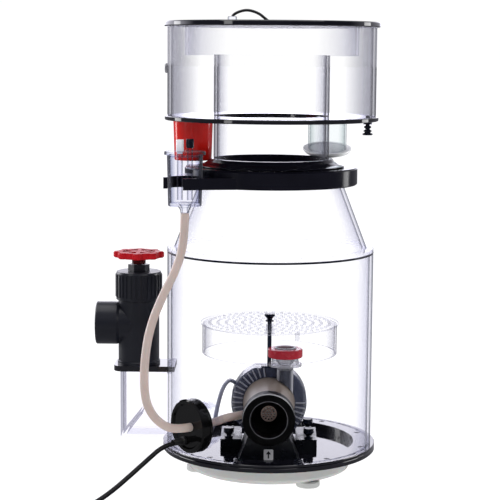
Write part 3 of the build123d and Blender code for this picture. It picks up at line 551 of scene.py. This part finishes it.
def lathe(name, profile, at, along, material, body, steps=48):
    """A turned piece: the profile's points are (radius, distance along the axis)."""
    turn = Vector((0, 0, 1)).rotation_difference(Vector(along)).to_matrix()
    mesh = bpy.data.meshes.new(name)
    vertices, faces = [], []
    for radius, out in profile:
        for step in range(steps):
            angle = 2 * pi * step / steps
            vertices.append(Vector(at) + turn @ Vector((radius * cos(angle), radius * sin(angle), out)))
    for row in range(len(profile) - 1):
        for step in range(steps):
            a, b = row * steps + step, row * steps + (step + 1) % steps
            faces.append((a, b, b + steps, a + steps))
    faces.append(tuple(reversed(range(steps))))
    faces.append(tuple(range((len(profile) - 1) * steps, len(profile) * steps)))
    mesh.from_pydata(vertices, [], faces)
    mesh.materials.append(material)
    for face in mesh.polygons[:-2]:
        face.use_smooth = True
    mesh.set_sharp_from_angle(angle=radians(35))
    piece = bpy.data.objects.new(name, mesh)
    scene.collection.objects.link(piece)
    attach(piece, body)
    return piece


def arc_line(name, centre, radius, thickness, material, body, start=0.0, sweep=2 * pi, level=True,
             taper=0.0):
    """A thin line of round section along a circle, level or facing the front; taper is the part of
    each end that thins away."""
    count = 96
    closed = sweep >= 2 * pi
    data = bpy.data.curves.new(name, "CURVE")
    data.dimensions = "3D"
    data.bevel_depth, data.bevel_resolution = thickness, 3
    spline = data.splines.new("POLY")
    spline.points.add(count - 1)
    for step, point in enumerate(spline.points):
        share = step / (count if closed else count - 1)
        angle = start + sweep * share
        flat = Vector((cos(angle), sin(angle), 0)) if level else Vector((cos(angle), 0, sin(angle)))
        point.co = (*(Vector(centre) + flat * radius), 1)
        end = min(share, 1 - share)
        point.radius = min(1.0, 0.15 + end / taper) if taper else 1.0
    spline.use_cyclic_u = closed
    data.use_fill_caps = not closed
    line = bpy.data.objects.new(name, data)
    scene.collection.objects.link(line)
    data.materials.append(material)
    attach(line, body)
    return line


def flat_shape(name, outline, y_face, thick, material, body):
    """A thin plate facing the front, its outline in x and z."""
    mesh = bpy.data.meshes.new(name)
    count = len(outline)
    vertices = [(x, y_face, z) for x, z in outline] + [(x, y_face - thick, z) for x, z in outline]
    faces = [tuple(range(count)), tuple(reversed(range(count, 2 * count)))]
    faces += [(a, a + count, (a + 1) % count + count, (a + 1) % count) for a in range(count)]
    mesh.from_pydata(vertices, [], faces)
    mesh.materials.append(material)
    plate = bpy.data.objects.new(name, mesh)
    scene.collection.objects.link(plate)
    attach(plate, body)
    return plate


def make_shoulder_band():
    tube_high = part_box("body_tube")[1]
    # A dark line along the front half of the tube's top edge only, thinning away at both ends.
    band_colour = solid("shoulder_band_dark", (0.003, 0.004, 0.013), 0.40, specular=0.1)
    arc_line("shoulder_dark_band", (0, 0, tube_high.z), tube_high.x - 0.0004, 0.0015, band_colour, "chamber",
             start=pi * 0.985, sweep=pi * 1.03, taper=0.12)


def make_intake_lip_highlights():
    """Painted highlights on the intake's black ring: a grey line round the inner lip and a light line along
    the outer lip's top.
    """
    ring_low, ring_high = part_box("intake_ring")
    pump_z = (ring_low.z + ring_high.z) / 2
    # Painted highlight: a thin grey line all round the inner lip, where light catches its edge.
    inner_highlight = solid("painted_inner_lip_highlight", (0.11, 0.11, 0.12), 0.25, bump=0.05)
    arc_line("intake_inner_lip_highlight", (0, ring_low.y + 0.0006, pump_z), 0.0266, 0.0006, inner_highlight, "chamber",
             level=False)
    # Painted highlight: a light line along the top half of the outer lip only, where light from above catches
    # it.
    outer_highlight = solid("painted_outer_lip_highlight", (0.34, 0.34, 0.35), 0.22, bump=0.05)
    arc_line("intake_outer_lip_highlight", (0, ring_low.y + 0.0009, pump_z), 0.0368, 0.0010, outer_highlight, "chamber",
             start=radians(10), sweep=radians(175), level=False, taper=0.30)


def make_cup_fittings():
    """The small stud on the cup's left side and the clear boss that the drain plug hangs from."""
    wall_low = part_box("cup_wall")[0]
    grey = solid("grey_stud", (0.24, 0.24, 0.26), 0.3)
    lathe("cup_stud", [(0.0070, 0.0), (0.0070, 0.0028), (0.0060, 0.0040), (0.0030, 0.0044)],
          (wall_low.x + 0.0004, 0, STUD_Z), (-1, 0, 0), grey, "cup")
    floor_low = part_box("cup_floor")[0]
    plug_low, plug_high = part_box("drain_plug")
    plug_x, plug_y = (plug_low.x + plug_high.x) / 2, (plug_low.y + plug_high.y) / 2
    boss = clear("clear_boss", middle=(0.80, 0.80, 0.84), side=(0.55, 0.55, 0.62))
    lathe("drain_boss", [(0.0085, 0.0), (0.0085, 0.0014), (0.0065, 0.0020), (0.0062, 0.0052)],
          (plug_x, plug_y, floor_low.z), (0, 0, -1), boss, "cup")


def make_direction_label():
    """A plain arrow on a paper label, on the bracket's front."""
    face_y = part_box("pump_bracket")[0].y
    paper = solid("label_paper", (0.78, 0.78, 0.79), 0.5, shade=0.03)
    ink = solid("label_ink", (0.01, 0.01, 0.012), 0.5)
    half, low, high, corner = LABEL_HALF, LABEL_LOW, LABEL_HIGH, LABEL_CORNER
    flat_shape("direction_label", [(-half, low + corner), (-half + corner, low), (half - corner, low),
                                   (half, low + corner), (half, high - corner), (half - corner, high),
                                   (-half + corner, high), (-half, high - corner)],
               face_y - 0.0001, 0.0003, paper, "chamber")
    stem, barb, foot, neck, tip = ARROW
    flat_shape("direction_arrow", [(-stem, foot), (stem, foot), (stem, neck), (barb, neck), (0, tip),
                                   (-barb, neck), (-stem, neck)],
               face_y - 0.0004, 0.0002, ink, "chamber")


def make_small_pieces():
    make_shoulder_band()
    make_intake_lip_highlights()
    make_cup_fittings()
    make_direction_label()


make_camera()
make_stage()
paint_everything()
make_cords()
make_small_pieces()
